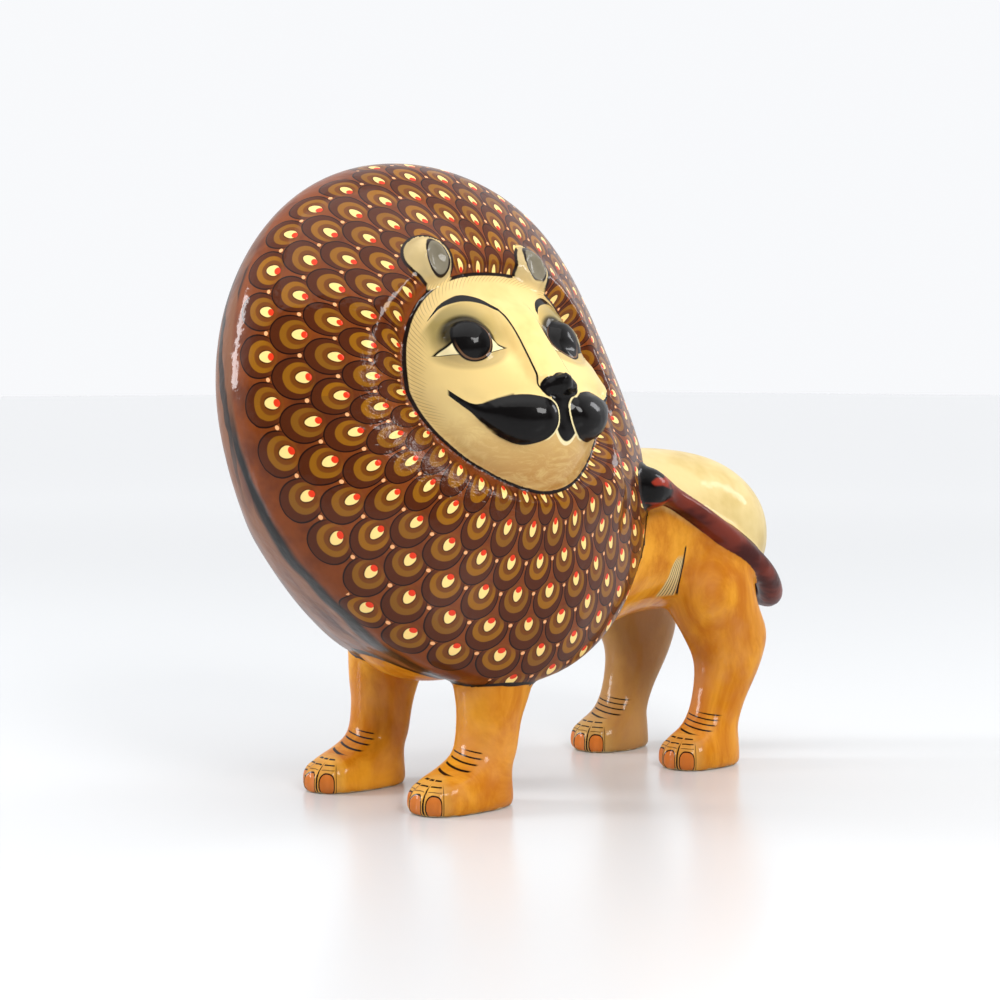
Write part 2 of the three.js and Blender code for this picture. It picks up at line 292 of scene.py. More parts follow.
# The body: a barrel of pasted paper with its four legs, which carry the whole figure.
# Each leg is drawn up from its own flat sole, and the front pair stands a little wider than the rear pair.
body_stations = [
    (-205, 190, 30, 40, 40),
    (-190, 190, 62, 80, 66),
    (-150, 196, 90, 120, 92),
    (-60, 205, 92, 115, 96),
    (20, 212, 88, 95, 86),
    (90, 220, 86, 84, 76),
    (150, 224, 88, 80, 76),
    (205, 222, 86, 74, 70),
    (245, 218, 68, 58, 54),
    (268, 214, 42, 36, 34),
    (276, 212, 20, 16, 16),
]
body_shift = np.array((-40.7, 23.3, 0))


def body_ring(row, sides=96):
    y, z, half, up, down = row
    angle = 2 * math.pi * np.arange(sides) / sides
    c, d = power(np.cos(angle), 0.9), power(np.sin(angle), 0.9)
    return body_shift + np.stack([half * c, np.full(sides, y), z + np.where(d > 0, up, down) * d], -1)


barrel = drawn_out(
    "barrel",
    np.array([body_ring(row) for row in between_rows(body_stations, 6)]),
    body_shift + (0, -209, 190),
    body_shift + (0, 278, 212),
)

front_leg = [
    (0, 0, 0, 50, 29),
    (4, 0, 0, 52, 31),
    (16, 0, 0, 51, 31),
    (26, 5, 0, 45, 30),
    (36, 17, 0, 33, 28),
    (48, 27, 0, 27, 27),
    (75, 32, 0, 28, 27),
    (100, 36, 0, 34, 30),
    (140, 41, -6, 43, 37),
    (185, 42, -16, 52, 42),
]
rear_leg = [
    (0, 0, 0, 41, 28),
    (4, 0, 0, 43, 30),
    (16, 0, 0, 42, 30),
    (26, 4, 0, 38, 28),
    (38, 14, 0, 27, 25),
    (60, 25, 0, 27, 23),
    (95, 38, 0, 35, 27),
    (125, 35, -1, 47, 31),
    (160, 18, -6, 48, 40),
    (200, 14, -16, 52, 46),
    (240, 16, -26, 50, 40),
]
feet = {
    "front_right": (front_leg, (-72, -160)),
    "front_left": (front_leg, (71, -155)),
    "rear_right": (rear_leg, (-63, 159)),
    "rear_left": (rear_leg, (65, 154)),
}


def leg_ring(row, foot_x, foot_y, sides=64):
    z, y, x, long, wide = row
    angle = 2 * math.pi * np.arange(sides) / sides
    c, d = power(np.cos(angle), 0.86), power(np.sin(angle), 0.86)
    ring = np.stack([foot_x + np.sign(foot_x) * x + wide * c, foot_y + y + long * d, np.full(sides, z)], -1)
    return body_shift + ring


legs = []
for foot, (stations, (foot_x, foot_y)) in feet.items():
    rows = between_rows(stations, 5)
    last = rows[-1]
    legs.append(
        drawn_out(
            "leg_" + foot,
            np.array([leg_ring(row, foot_x, foot_y) for row in rows]),
            body_shift + (foot_x, foot_y, 0),
            body_shift + (foot_x + np.sign(foot_x) * last[2], foot_y + last[1], last[0] + 6),
        )
    )

# The tail: a roll of paper about 25 mm thick, laid from the rump along the left flank.
# It is pasted on along its length and ends in a thicker tuft against the mane.
tail_stations = [
    (0, 262, 178, 12),
    (24, 276, 160, 13),
    (56, 264, 158, 13),
    (80, 226, 184, 12),
    (90, 176, 214, 11),
    (94, 124, 243, 10),
    (92, 88, 262, 10),
    (93, 70, 268, 14),
    (94, 54, 271, 19),
    (93, 38, 275, 19),
    (89, 22, 281, 13),
    (86, 10, 286, 4),
]
tail_rows = between_rows(tail_stations, 6)
tail_path = tail_rows[:, :3] + body_shift
tail_rings, tail_sides = [], 32
for i, row in enumerate(tail_rows):
    along = tail_path[min(i + 1, len(tail_path) - 1)] - tail_path[max(i - 1, 0)]
    along /= np.linalg.norm(along)
    side = np.array((1.0, 0, 0)) - along * along[0]
    side /= np.linalg.norm(side)
    other = np.cross(along, side)
    angle = 2 * math.pi * np.arange(tail_sides)[:, None] / tail_sides
    tail_rings.append(tail_path[i] + row[3] * (np.cos(angle) * side + np.sin(angle) * other))
tail = drawn_out("tail", np.array(tail_rings), tail_path[0], tail_path[-1])

# The skin: everything is pasted over in one layer of paper, so the forms run into each other without a joint.
# It is rubbed smooth, and the face and feet are then worked finer: lids, the wedge of the nose, nostrils and toes.
def tree_of(parts):
    verts, polys = [], []
    for part in parts:
        start = len(verts)
        verts += [v.co.copy() for v in part.data.vertices]
        polys += [[start + i for i in p.vertices] for p in part.data.polygons]
    return BVHTree.FromPolygons(verts, polys)


trees = {
    "head": tree_of([head, *face_lumps]),
    "ear": tree_of(ears),
    "moustache": tree_of([part for part in face_lumps if part.name.startswith("moustache")]),
    "nose": tree_of([part for part in face_lumps if part.name.startswith("nos")]),
    "body": tree_of([barrel, *legs]),
    "tail": tree_of([tail]),
}
bpy.ops.object.select_all(action="DESELECT")
for part in [head, barrel, *legs, tail, *face_lumps, *ears]:
    part.select_set(True)
bpy.context.view_layer.objects.active = head
bpy.ops.object.join()
shell = bpy.context.object
shell.name = "lion_shell"
paper_grain = 0.0038
skin = shell.modifiers.new("skin", "REMESH")
skin.mode, skin.voxel_size = "VOXEL", paper_grain
bpy.ops.object.modifier_apply(modifier="skin")


def places():
    co = np.empty(len(shell.data.vertices) * 3)
    shell.data.vertices.foreach_get("co", co)
    return co.reshape(-1, 3)


def on_face(co):
    """Each place as s, t and h on the head, in millimetres."""
    away = co * 1000 - head_middle
    t, h = away @ upward, away @ outward
    s = away @ across + head_tilt * (t - 30)
    plain_s, plain_h = s, h
    for _ in range(4):
        wider, fuller = cheek_shift(plain_s, t, plain_h)
        plain_s, plain_h = s - wider, h - fuller
    return plain_s, t, plain_h


def border_of_face(s, t):
    """1 on the border of the face, less inside it."""
    half, top, bottom, middle = mane_rings[-1][:4]
    half = half - 2.5
    d = (t - middle) / np.where(t > middle, top - middle, middle - bottom)
    c = s / (half * (1 - chin_pinch * np.maximum(0, -d)))
    exponent = 2 / np.where(t > middle, brow_squareness, 1)
    return (np.abs(c) ** exponent + np.abs(d) ** exponent) ** (1 / exponent)


s, t, h = on_face(places())
fine = (np.abs(s) < 102) & (t > -98) & (t < 152) & (h > 86)
shell.data.vertices.foreach_set("select", fine)
for p in shell.data.polygons:
    p.select = all(fine[i] for i in p.vertices)
bpy.ops.object.mode_set(mode="EDIT")
bpy.ops.mesh.select_mode(type="FACE")
bpy.ops.mesh.subdivide(number_cuts=1)
bpy.ops.object.mode_set(mode="OBJECT")
rub = shell.modifiers.new("rub", "SMOOTH")
rub.factor, rub.iterations = 0.5, 4
bpy.ops.object.modifier_apply(modifier="rub")

co = places()
s, t, h = on_face(co)
far = {name: np.array([tree.find_nearest(Vector(p))[3] for p in co]) * 1000 for name, tree in trees.items()}


def hill(x, y, middle, radii):
    return np.exp(-(((x - middle[0]) / radii[0]) ** 2) - (((y - middle[1]) / radii[1]) ** 2))


def soft(value, start, end):
    part = ramp(value, start, end)
    return part * part * (3 - 2 * part)


side_s = np.abs(s)
on_front = soft(h, 95, 112) * soft(far["ear"], 1, 5) * soft(border_of_face(s, t), 0.97, 0.88)
wedge = 7 * soft(side_s, 22, 13) * soft(t, 88, 62) * soft(t, -2, 8)
socket = -3.5 * hill(side_s, t, (26, 40), (6, 16)) - 1.5 * hill(side_s, t, (76, 38), (7, 8))
lid = 2.2 * hill(side_s, t, (50, 66), (22, 8)) + 1.0 * hill(side_s, t, (52, 21), (24, 4))
lash = -1.2 * np.exp(-(((np.hypot((side_s - 51) / 23, (t - 43) / 20) - 1) * 20 / 2.2) ** 2))
nostrils = -3.5 * hill(np.abs(s - 4), t, (11, -9), (4, 3))
co += ((wedge + socket + lid + lash + nostrils) * on_front)[:, None] / 1000 * outward

toes_radius, toe_width = 28, math.radians(30)
feet_middles = np.array([middle for _, middle in feet.values()]) + body_shift[:2]
feet_length = np.array([stations[0][3] for stations, _ in feet.values()])
to_foot = co[:, None, :2] * 1000 - feet_middles
nearest = np.argmin(np.linalg.norm(to_foot, axis=2), axis=1)
foot = to_foot[np.arange(len(co)), nearest]
foot[:, 1] += feet_length[nearest] - toes_radius
toe_turn = np.arctan2(foot[:, 0], -foot[:, 1])
toe_swell = np.cos(toe_turn / toe_width * 2 * math.pi + math.pi) * soft(np.abs(toe_turn), 1.25, 0.95)
z = co[:, 2] * 1000
toe_swell *= soft(z, 34, 20) * soft(z, 0.5, 5) * soft(np.hypot(*foot.T), 12, 20)
co[:, :2] += (foot / np.maximum(1, np.hypot(*foot.T))[:, None]) * (1.3 * toe_swell)[:, None] / 1000
shell.data.vertices.foreach_set("co", co.ravel())
shell.data.update()
bpy.ops.object.shade_smooth()

# The painter's guide lines, drawn on the bare paper before the colours.
# They give how far out from the face each place on the mane is, and where the other colours end.
steps_out = np.linalg.norm(np.diff(head_table, axis=0), axis=2)
out_from_face = np.concatenate([np.zeros((1, head_sides)), np.cumsum(steps_out, axis=0)])
out_from_face = out_from_face[face_border] - out_from_face
grid_points = head_table.reshape(-1, 3) / 1000
grid_s, grid_t, _ = on_face(grid_points)
ring_index = np.repeat(np.arange(len(head_table)), head_sides)
quads = []
for r in range(len(head_table) - 1):
    here, beyond = r * head_sides, (r + 1) * head_sides
    for k in range(head_sides):
        after = (k + 1) % head_sides
        quads.append([here + k, here + after, beyond + after, beyond + k])
grid_tree = BVHTree.FromPolygons([tuple(p) for p in grid_points], quads)
grid_values = np.stack([out_from_face.ravel(), ring_index / head_steps])
found = np.empty((len(co), 2))
for i, p in enumerate(co):
    hit, _, face, _ = grid_tree.find_nearest(Vector(p))
    corners = quads[face]
    nearness = 1 / (np.linalg.norm(grid_points[corners] - np.array(hit), axis=1) ** 2 + 1e-9)
    found[i] = grid_values[:, corners] @ (nearness / nearness.sum())
edges = np.empty(len(shell.data.edges) * 2, np.int32)
shell.data.edges.foreach_get("vertices", edges)
edges = edges.reshape(-1, 2)
neighbours = np.bincount(edges.ravel(), minlength=len(co))
for _ in range(6):
    total = np.zeros_like(found)
    for one_end, other_end in ((0, 1), (1, 0)):
        for j in (0, 1):
            total[:, j] += np.bincount(edges[:, one_end], found[edges[:, other_end], j], len(co))
    found = 0.4 * found + 0.6 * total / np.maximum(1, neighbours)[:, None]
out_mm, ring = found.T

scales_round, row_step = 34, 29


def first_row_at(angle):
    """How far out the first row lies, in millimetres: furthest in the corners of the face."""
    return 5 + 7 * np.cos(3.6 * (np.maximum(np.abs(angle), math.radians(78)) - math.radians(128)))


def scale_number(angle):
    wave = -0.18 - 0.16 * np.cos(angle) + 0.02 * np.sin(angle) + 0.03 * np.cos(2 * angle) - 0.3 * np.sin(2 * angle)
    return scales_round / (2 * math.pi) * angle + wave


row = (out_mm - first_row_at(np.arctan2(t - 10, s)) - 4) / row_step
edge_angle = np.arctan2(grid_t - 10, grid_s).reshape(-1, head_sides)[front_edge]
edge_row = (out_from_face[front_edge] - first_row_at(edge_angle) - 4) / row_step
edge_place = scale_number(edge_angle) / scales_round % 1


def guide(name, values):
    shell.data.attributes.new(name, "FLOAT", "POINT").data.foreach_set("value", np.asarray(values, np.float32))


border = border_of_face(s, t)
guide("s", s / 100)
guide("t", t / 100)
guide("h", h / 100)
guide("row", row)
guide("ring", ring)
guide("border", border)
guide("seam", np.minimum(far["body"], far["tail"]) - far["head"])
guide("ear", far["ear"])
guide("moustache", far["moustache"])
guide("nose", far["nose"])
guide("tail", far["tail"])
guide("foot_x", foot[:, 0] / 100)
guide("foot_y", foot[:, 1] / 100)


# The paints. Each is mixed in steps, the way it is brushed on: a ground colour, then bands, dots and lines over it.
# All are under one clear varnish that shines and shows the unevenness of the paper.
def paint_colour(code):
    parts = [int(code[i : i + 2], 16) / 255 for i in (1, 3, 5)]
    return (*(c / 12.92 if c < 0.04045 else ((c + 0.055) / 1.055) ** 2.4 for c in parts), 1)


class Paint:
    """One paint under varnish. Its colour and its relief are mixed from steps, each made by one call."""

    def __init__(self, name, varnish):
        self.material = bpy.data.materials.new(name)
        self.material.use_nodes = True
        self.tree = self.material.node_tree
        self.shader = self.tree.nodes["Principled BSDF"]
        self.shader.inputs["Coat Weight"].default_value = varnish
        self.shader.inputs["Coat Roughness"].default_value = 0.07
        self.shader.inputs["Specular IOR Level"].default_value = 0.03
        self.place = self.node("ShaderNodeTexCoord").outputs["Object"]

    def node(self, kind, **settings):
        made = self.tree.nodes.new(kind)
        for key, value in settings.items():
            setattr(made, key, value)
        return made

    def feed(self, socket, value):
        if isinstance(value, bpy.types.NodeSocket):
            self.tree.links.new(value, socket)
        else:
            socket.default_value = value

    def math(self, operation, *values):
        made = self.node("ShaderNodeMath", operation=operation)
        for socket, value in zip(made.inputs, values):
            self.feed(socket, value)
        return made.outputs[0]

    def add(self, a, b):
        return self.math("ADD", a, b)

    def sub(self, a, b):
        return self.math("SUBTRACT", a, b)

    def mul(self, *values):
        result = values[0]
        for value in values[1:]:
            result = self.math("MULTIPLY", result, value)
        return result

    def guide(self, name):
        return self.node("ShaderNodeAttribute", attribute_name=name).outputs["Fac"]

    def axes(self):
        made = self.node("ShaderNodeSeparateXYZ")
        self.feed(made.inputs[0], self.place)
        return made.outputs

    def over(self, value, start, end):
        """0 up to start and 1 beyond end, softly."""
        made = self.node("ShaderNodeMapRange", interpolation_type="SMOOTHSTEP")
        for socket, v in zip(made.inputs, (value, start, end, 0, 1)):
            self.feed(socket, v)
        return made.outputs[0]

    def stroke(self, value, middle, half, softness=0.35):
        """1 within half of the middle."""
        away = self.math("DIVIDE", self.math("ABSOLUTE", self.sub(value, middle)), half)
        return self.over(away, 1 + softness, 1 - softness)

    def egg(self, x, y, middle, radii):
        """1 on the edge of an ellipse, less inside."""
        across_egg = self.math("DIVIDE", self.sub(x, middle[0]), radii[0])
        up_egg = self.math("DIVIDE", self.sub(y, middle[1]), radii[1])
        return self.math("SQRT", self.add(self.mul(across_egg, across_egg), self.mul(up_egg, up_egg)))

    def curve(self, value, points):
        """A drawn line: its height over value, both as shares of 100 mm."""
        made = self.node("ShaderNodeFloatCurve")
        made.mapping.use_clip = False
        line = made.mapping.curves[0]
        for i, (x, y) in enumerate(sorted(points)):
            if i < 2:
                line.points[i].location = (x, y)
            else:
                line.points.new(x, y)
        made.mapping.update()
        self.feed(made.inputs["Value"], value)
        return made.outputs[0]

    def noise(self, scale, detail=2.0, roughness=0.5, stretch=(1, 1, 1), distortion=0.0):
        mapping = self.node("ShaderNodeMapping")
        self.feed(mapping.inputs["Vector"], self.place)
        mapping.inputs["Scale"].default_value = stretch
        made = self.node("ShaderNodeTexNoise")
        self.feed(made.inputs["Vector"], mapping.outputs[0])
        made.inputs["Scale"].default_value = scale
        made.inputs["Detail"].default_value = detail
        made.inputs["Roughness"].default_value = roughness
        made.inputs["Distortion"].default_value = distortion
        return made.outputs[0]

    def mix(self, part, a, b):
        made = self.node("ShaderNodeMix", data_type="RGBA")
        for index, value in ((0, part), (6, a), (7, b)):
            self.feed(made.inputs[index], value)
        return made.outputs[2]

    def finish(self, colour, height, strength=0.3):
        self.feed(self.shader.inputs["Base Color"], colour)
        pulp = self.add(self.noise(22, 3, 0.5), self.mul(self.noise(140, 2, 0.6), 0.12))
        pulp = self.add(pulp, height)
        bump = self.node("ShaderNodeBump")
        bump.inputs["Strength"].default_value = strength
        bump.inputs["Distance"].default_value = 0.005
        self.feed(bump.inputs["Height"], pulp)
        self.feed(self.shader.inputs["Normal"], bump.outputs[0])
        self.feed(self.shader.inputs["Coat Normal"], bump.outputs[0])
        self.feed(self.shader.inputs["Roughness"], self.add(0.26, self.mul(self.noise(45, 3), 0.22)))


black, ink = paint_colour("#0b0909"), paint_colour("#1c100b")

# The mane: rows of painted scales, 34 in a ring, each with a cream eye and a red spot.
# The outer rows are brushed first and the inner ones over them, and small dots fill the gaps. A plain brown band with
# dark strokes closes the mane at the back.
scale_ground, scale_line, scale_dark = paint_colour("#7c3c14"), paint_colour("#1f0d07"), paint_colour("#4f230d")
scale_olive, scale_inner, cream_dot = paint_colour("#955f0e"), paint_colour("#6f3c10"), paint_colour("#fbd987")
red_dot, small_dot = paint_colour("#e23a1c"), paint_colour("#f3b078")
mane = Paint("mane_paint", 0.38)
s_, t_ = mane.guide("s"), mane.guide("t")
angle = mane.math("ARCTAN2", mane.sub(t_, 0.1), s_)
wobble = mane.sub(mane.noise(16, 1), 0.5)
row_ = mane.add(mane.guide("row"), mane.mul(wobble, 0.2))
wave = mane.add(mane.mul(mane.math("COSINE", angle), -0.16), mane.mul(mane.math("SINE", mane.mul(angle, 2)), -0.3))
# Each place counts in scales round the face and in rows out from it. A little noise makes it look hand-drawn.
around = mane.add(mane.add(mane.mul(angle, scales_round / (2 * math.pi)), wave), -0.18)
around = mane.add(around, mane.mul(mane.sub(mane.noise(13, 1, 0.5, (1, 1.2, 1)), 0.5), 0.3))
# The mane is deeper on some sides than on others, so the last row is looked up round the edge.
edge_points = sorted(zip(edge_place[::5], edge_row[::5] / 10))
edge_points = [(0, edge_points[0][1]), *edge_points, (1, edge_points[0][1])]
ground_tone = mane.mix(mane.over(mane.noise(30, 3, 0.6), 0.4, 0.7), scale_ground, paint_colour("#5f2c12"))
colour = ground_tone
raised, pips = 0.0, []
for step in (1, 0, -1):
    k = mane.add(mane.math("FLOOR", mane.add(row_, 0.5)), step)
    half = mane.mul(mane.math("FLOORED_MODULO", k, 2), 0.5)
    u = mane.add(around, half)
    number = mane.math("ROUND", u)
    x, y = mane.sub(u, number), mane.sub(row_, k)
    seed = mane.node("ShaderNodeCombineXYZ")
    mane.feed(seed.inputs[0], number)
    mane.feed(seed.inputs[1], k)
    chance = mane.node("ShaderNodeTexWhiteNoise")
    mane.feed(chance.inputs["Vector"], seed.outputs[0])
    chance = chance.outputs["Value"]
    place = mane.math("FLOORED_MODULO", mane.math("DIVIDE", mane.sub(number, half), scales_round), 1)
    last_row = mane.sub(mane.mul(mane.curve(place, edge_points), 10), 0.55)
    there = mane.mul(mane.math("GREATER_THAN", k, -0.5), mane.math("LESS_THAN", k, last_row))
    # One scale: a dark fan edged with a line, an olive crescent, a brown middle, the cream eye and its red spot.
    scale = mane.mix(mane.over(mane.egg(x, y, (0, 0.225), (0.445, 0.67)), 1.0, 0.965), scale_line, scale_dark)
    olive = mane.mix(chance, scale_olive, paint_colour("#7d5016"))
    scale = mane.mix(mane.over(mane.egg(x, y, (0, 0.125), (0.345, 0.475)), 1.03, 0.96), scale, olive)
    scale = mane.mix(mane.over(mane.egg(x, y, (0, 0.055), (0.245, 0.345)), 1.06, 0.92), scale, scale_inner)
    scale = mane.mix(mane.over(y, -0.42, 0.12), ground_tone, scale)
    outline = mane.over(mane.egg(x, y, (0, 0.235), (0.475, 0.695)), 1.0, 0.98)
    inside = mane.mul(outline, there, mane.over(y, -0.48, -0.25))
    colour = mane.mix(inside, colour, scale)
    ring_dark = mane.mul(mane.over(mane.egg(x, y, (0, 0.02), (0.15, 0.25)), 1.1, 0.9), there, 0.55)
    colour = mane.mix(ring_dark, colour, scale_line)
    tapered = mane.mul(x, mane.add(1.0, mane.mul(y, 0.9)))
    eye = mane.mul(mane.over(mane.egg(tapered, y, (0, 0.025), (0.125, 0.215)), 1.04, 0.95), there)
    colour = mane.mix(eye, colour, cream_dot)
    spot = mane.mul(mane.over(mane.egg(x, y, (0, -0.13), (0.085, 0.095)), 1.08, 0.92), there)
    colour = mane.mix(spot, colour, red_dot)
    between = mane.sub(mane.math("ABSOLUTE", x), 0.5)
    pips.append(mane.mul(mane.over(mane.egg(between, y, (0, 0.02), (0.05, 0.062)), 1.1, 0.85), there))
    raised = mane.add(raised, mane.mul(eye, 0.05))
for pip in pips[1:]:
    colour = mane.mix(pip, colour, small_dot)
# The band at the back with its dark strokes, and a black line along its edge on the lower left: painted shade.
ring_ = mane.guide("ring")
drift = mane.mul(mane.sub(mane.noise(7, 3, 0.6), 0.5), 3.0)
band_wave = mane.math("SINE", mane.mul(mane.add(ring_, drift), 5.5))
streaks = mane.mul(mane.over(band_wave, 0.45, 0.8), mane.over(mane.noise(5, 2), 0.4, 0.55))
patches = mane.over(mane.noise(24, 4, 0.6, (1, 1, 0.3)), 0.4, 0.65)
band = mane.mix(patches, paint_colour("#7b4c2f"), paint_colour("#5c3220"))
band = mane.mix(mane.mul(streaks, 0.92), band, paint_colour("#17100e"))
# Painted shade: a black line along the rim, only on its lower left side, where the rim lies in shade.
shadow_side = mane.mul(mane.over(t_, 0.35, -0.2), mane.over(s_, -0.2, -0.7))
rim_shade_line = mane.mul(mane.stroke(mane.add(ring_, mane.mul(wobble, 0.8)), 5.72, 0.2, 0.5), shadow_side)
colour = mane.mix(mane.over(mane.add(ring_, mane.mul(wobble, 0.3)), 5.98, 5.78), colour, band)
colour = mane.mix(rim_shade_line, colour, black)
colour = mane.mix(mane.over(mane.guide("border"), 1.024, 1.014), colour, ink)
colour = mane.mix(
    mane.mul(mane.over(mane.guide("ear"), 4.2, 3.2), mane.over(mane.guide("h"), 0.9, 0.95)), colour, ink
)
seam_ = mane.guide("seam")
colour = mane.mix(mane.over(seam_, 3.0, 1.8), colour, ink)
# Crinkled varnish on the crest round the face.
crinkle_here = mane.mul(mane.over(ring_, 9.0, 10.0), mane.over(s_, 0.1, -0.5), mane.over(t_, 0.7, 0.3))
crinkle = mane.mul(mane.noise(110, 3, 0.65, (1, 1, 1), 1.6), crinkle_here, 0.5)
mane.finish(colour, mane.add(raised, crinkle), 0.45)

# The face and the ears: cream, warmer in the middle and brushed brown at the chin, with the features in black.
# Fine hairs are drawn in from the border, and the hollows of the eyes are shaded olive.
face = Paint("face_paint", 0.32)
s_, t_, border_ = face.guide("s"), face.guide("t"), face.guide("border")
side_ = face.math("ABSOLUTE", s_)
warm = face.over(face.egg(s_, t_, (0.02, 0.25), (0.75, 0.95)), 1.05, 0.2)
cream = face.mix(warm, paint_colour("#e0c382"), paint_colour("#f2d48c"))
strokes = face.over(face.noise(30, 6, 0.75, (1, 1, 2.5), 1.2), 0.32, 0.68)
cream = face.mix(face.mul(face.over(face.noise(10, 4, 0.65), 0.48, 0.75), 0.6), cream, paint_colour("#cf9f5a"))
toward_chin = face.over(face.add(t_, face.mul(strokes, 0.35)), 0.0, -0.45)
chin_shade = face.mul(toward_chin, face.add(0.35, face.mul(strokes, 0.6)))
cream = face.mix(chin_shade, cream, paint_colour("#b98544"))
# The brows, and the shaded hollows below them.
brow_line = [
    (0.16, 0.675),
    (0.2, 0.74),
    (0.24, 0.778),
    (0.3, 0.808),
    (0.4, 0.83),
    (0.5, 0.812),
    (0.6, 0.767),
    (0.66, 0.715),
    (0.72, 0.65),
]
brow_half = [
    (0.16, 0.02), (0.22, 0.026), (0.3, 0.03), (0.4, 0.032), (0.5, 0.024), (0.6, 0.013), (0.67, 0.006), (0.73, 0.001)
]
brow_side = face.sub(side_, face.mul(face.over(s_, 0.0, 0.1), 0.09))
above_brow = face.sub(t_, face.curve(brow_side, brow_line))
hollow = face.mul(
    face.over(above_brow, 0.0, -0.05),
    face.over(t_, 0.25, 0.5),
    face.over(side_, 0.15, 0.24),
    face.over(side_, 0.82, 0.7),
)
near_eye = face.over(face.egg(side_, t_, (0.54, 0.5), (0.34, 0.36)), 1.0, 0.5)
olive_shade = face.mix(near_eye, paint_colour("#bda262"), paint_colour("#857644"))
colour = face.mix(face.mul(hollow, 0.85), cream, olive_shade)
eye_side = face.add(side_, face.mul(face.over(s_, 0.0, 0.1), 0.1))
halo = face.egg(eye_side, t_, (0.505, 0.44), (0.185, 0.215))
colour = face.mix(face.mul(face.over(halo, 1.16, 0.94), face.over(t_, 0.33, 0.46), 0.9), colour, black)
under = face.egg(eye_side, t_, (0.505, 0.37), (0.25, 0.17))
colour = face.mix(
    face.mul(face.over(under, 1.2, 0.95), face.over(t_, 0.4, 0.3), 0.4), colour, paint_colour("#6a5836")
)
# The white of each eye, a pointed almond, and the black iris with its brown ring.
above_line = face.math("DIVIDE", face.math("MAXIMUM", face.sub(t_, 0.345), 0.0), 0.235)
below_line = face.math("DIVIDE", face.math("MAXIMUM", face.sub(0.345, t_), 0.0), 0.055)
wide = face.math("DIVIDE", face.math("ABSOLUTE", face.sub(eye_side, 0.5)), 0.24)
tall = face.add(above_line, below_line)
white = face.add(wide, tall)
colour = face.mix(face.over(white, 1.14, 1.05), colour, black)
hidden = face.mul(face.over(s_, 0.0, 0.1), face.over(eye_side, 0.55, 0.6))
colour = face.mix(face.mul(face.over(white, 1.02, 0.97), face.sub(1.0, hidden)), colour, paint_colour("#f3e3b0"))
iris = face.egg(eye_side, t_, (0.508, 0.43), (0.15, 0.175))
colour = face.mix(face.over(iris, 1.07, 1.02), colour, black)
ring_part = face.mul(face.over(iris, 0.98, 0.95), face.over(face.add(t_, face.mul(eye_side, 0.6)), 0.85, 0.7))
colour = face.mix(ring_part, colour, paint_colour("#6b4c34"))
colour = face.mix(face.over(iris, 0.9, 0.87), colour, black)
brow_part = face.over(
    face.math("DIVIDE", face.math("ABSOLUTE", above_brow), face.curve(brow_side, brow_half)), 1.15, 0.9
)
brow_part = face.mul(brow_part, face.over(brow_side, 0.16, 0.17), face.over(brow_side, 0.725, 0.71))
colour = face.mix(brow_part, colour, black)
# The thin line down each side of the nose, and the fine hairs along the border.
nose_line = [
    (0.03, 0.128), (0.1, 0.15), (0.24, 0.153), (0.4, 0.15), (0.54, 0.147), (0.67, 0.152), (0.75, 0.163), (0.84, 0.185)
]
along_nose = face.sub(side_, face.curve(face.add(t_, 0.1), nose_line))
colour = face.mix(
    face.mul(face.stroke(along_nose, 0, 0.006), face.over(t_, 0.74, 0.72), face.over(t_, -0.07, -0.05)), colour, black
)
hair_turn = face.add(face.math("ARCTAN2", face.sub(t_, 0.1), s_), face.mul(border_, 1.6))
hair = face.over(face.math("SINE", face.add(face.mul(hair_turn, 150), face.mul(face.noise(30), 5))), 0.7, 0.98)
hair = face.mul(
    hair,
    face.over(face.add(border_, face.mul(face.noise(70, 1), 0.12)), 0.95, 1.01),
    face.over(t_, -0.35, -0.05),
    face.over(face.guide("ear"), 0.8, 2.6),
)
colour = face.mix(face.mul(hair, 0.5), colour, paint_colour("#6a4c28"))
# The lower lip and the moustache, with a cream edge between them.
lobe = face.egg(s_, t_, (0.03, -0.26), (0.125, 0.235))
colour = face.mix(face.mul(face.over(lobe, 1.13, 1.08), face.over(t_, -0.3, -0.35)), colour, paint_colour("#efe0b0"))
colour = face.mix(face.over(lobe, 1.0, 0.95), colour, black)
pad = face.guide("moustache")
pad_rim = face.mul(
    face.over(pad, 2.5, 2.2),
    face.over(face.math("ABSOLUTE", face.sub(s_, 0.03)), 0.2, 0.15),
    face.over(t_, -0.08, -0.14),
)
colour = face.mix(pad_rim, colour, paint_colour("#e5d6a2"))
from_middle = face.math("ABSOLUTE", face.sub(s_, 0.02))
tip_middle = face.curve(from_middle, [(row[0] / 100, row[1] / 100) for row in moustache_stations[4:]])
tip_half = face.curve(from_middle, [(row[0] / 100, (row[3] + 0.4) / 100) for row in moustache_stations[4:]])
on_roll = face.over(face.math("DIVIDE", face.math("ABSOLUTE", face.sub(t_, tip_middle)), tip_half), 1.1, 0.95)
colour = face.mix(
    face.mul(on_roll, face.over(from_middle, 0.34, 0.36), face.over(from_middle, 0.745, 0.73)), colour, black
)
colour = face.mix(face.mul(face.over(pad, 1.5, 1.1), face.over(from_middle, 0.5, 0.46)), colour, black)
colour = face.mix(face.mul(face.over(face.guide("nose"), 2.0, 1.4), face.over(t_, -0.24, -0.2)), colour, black)
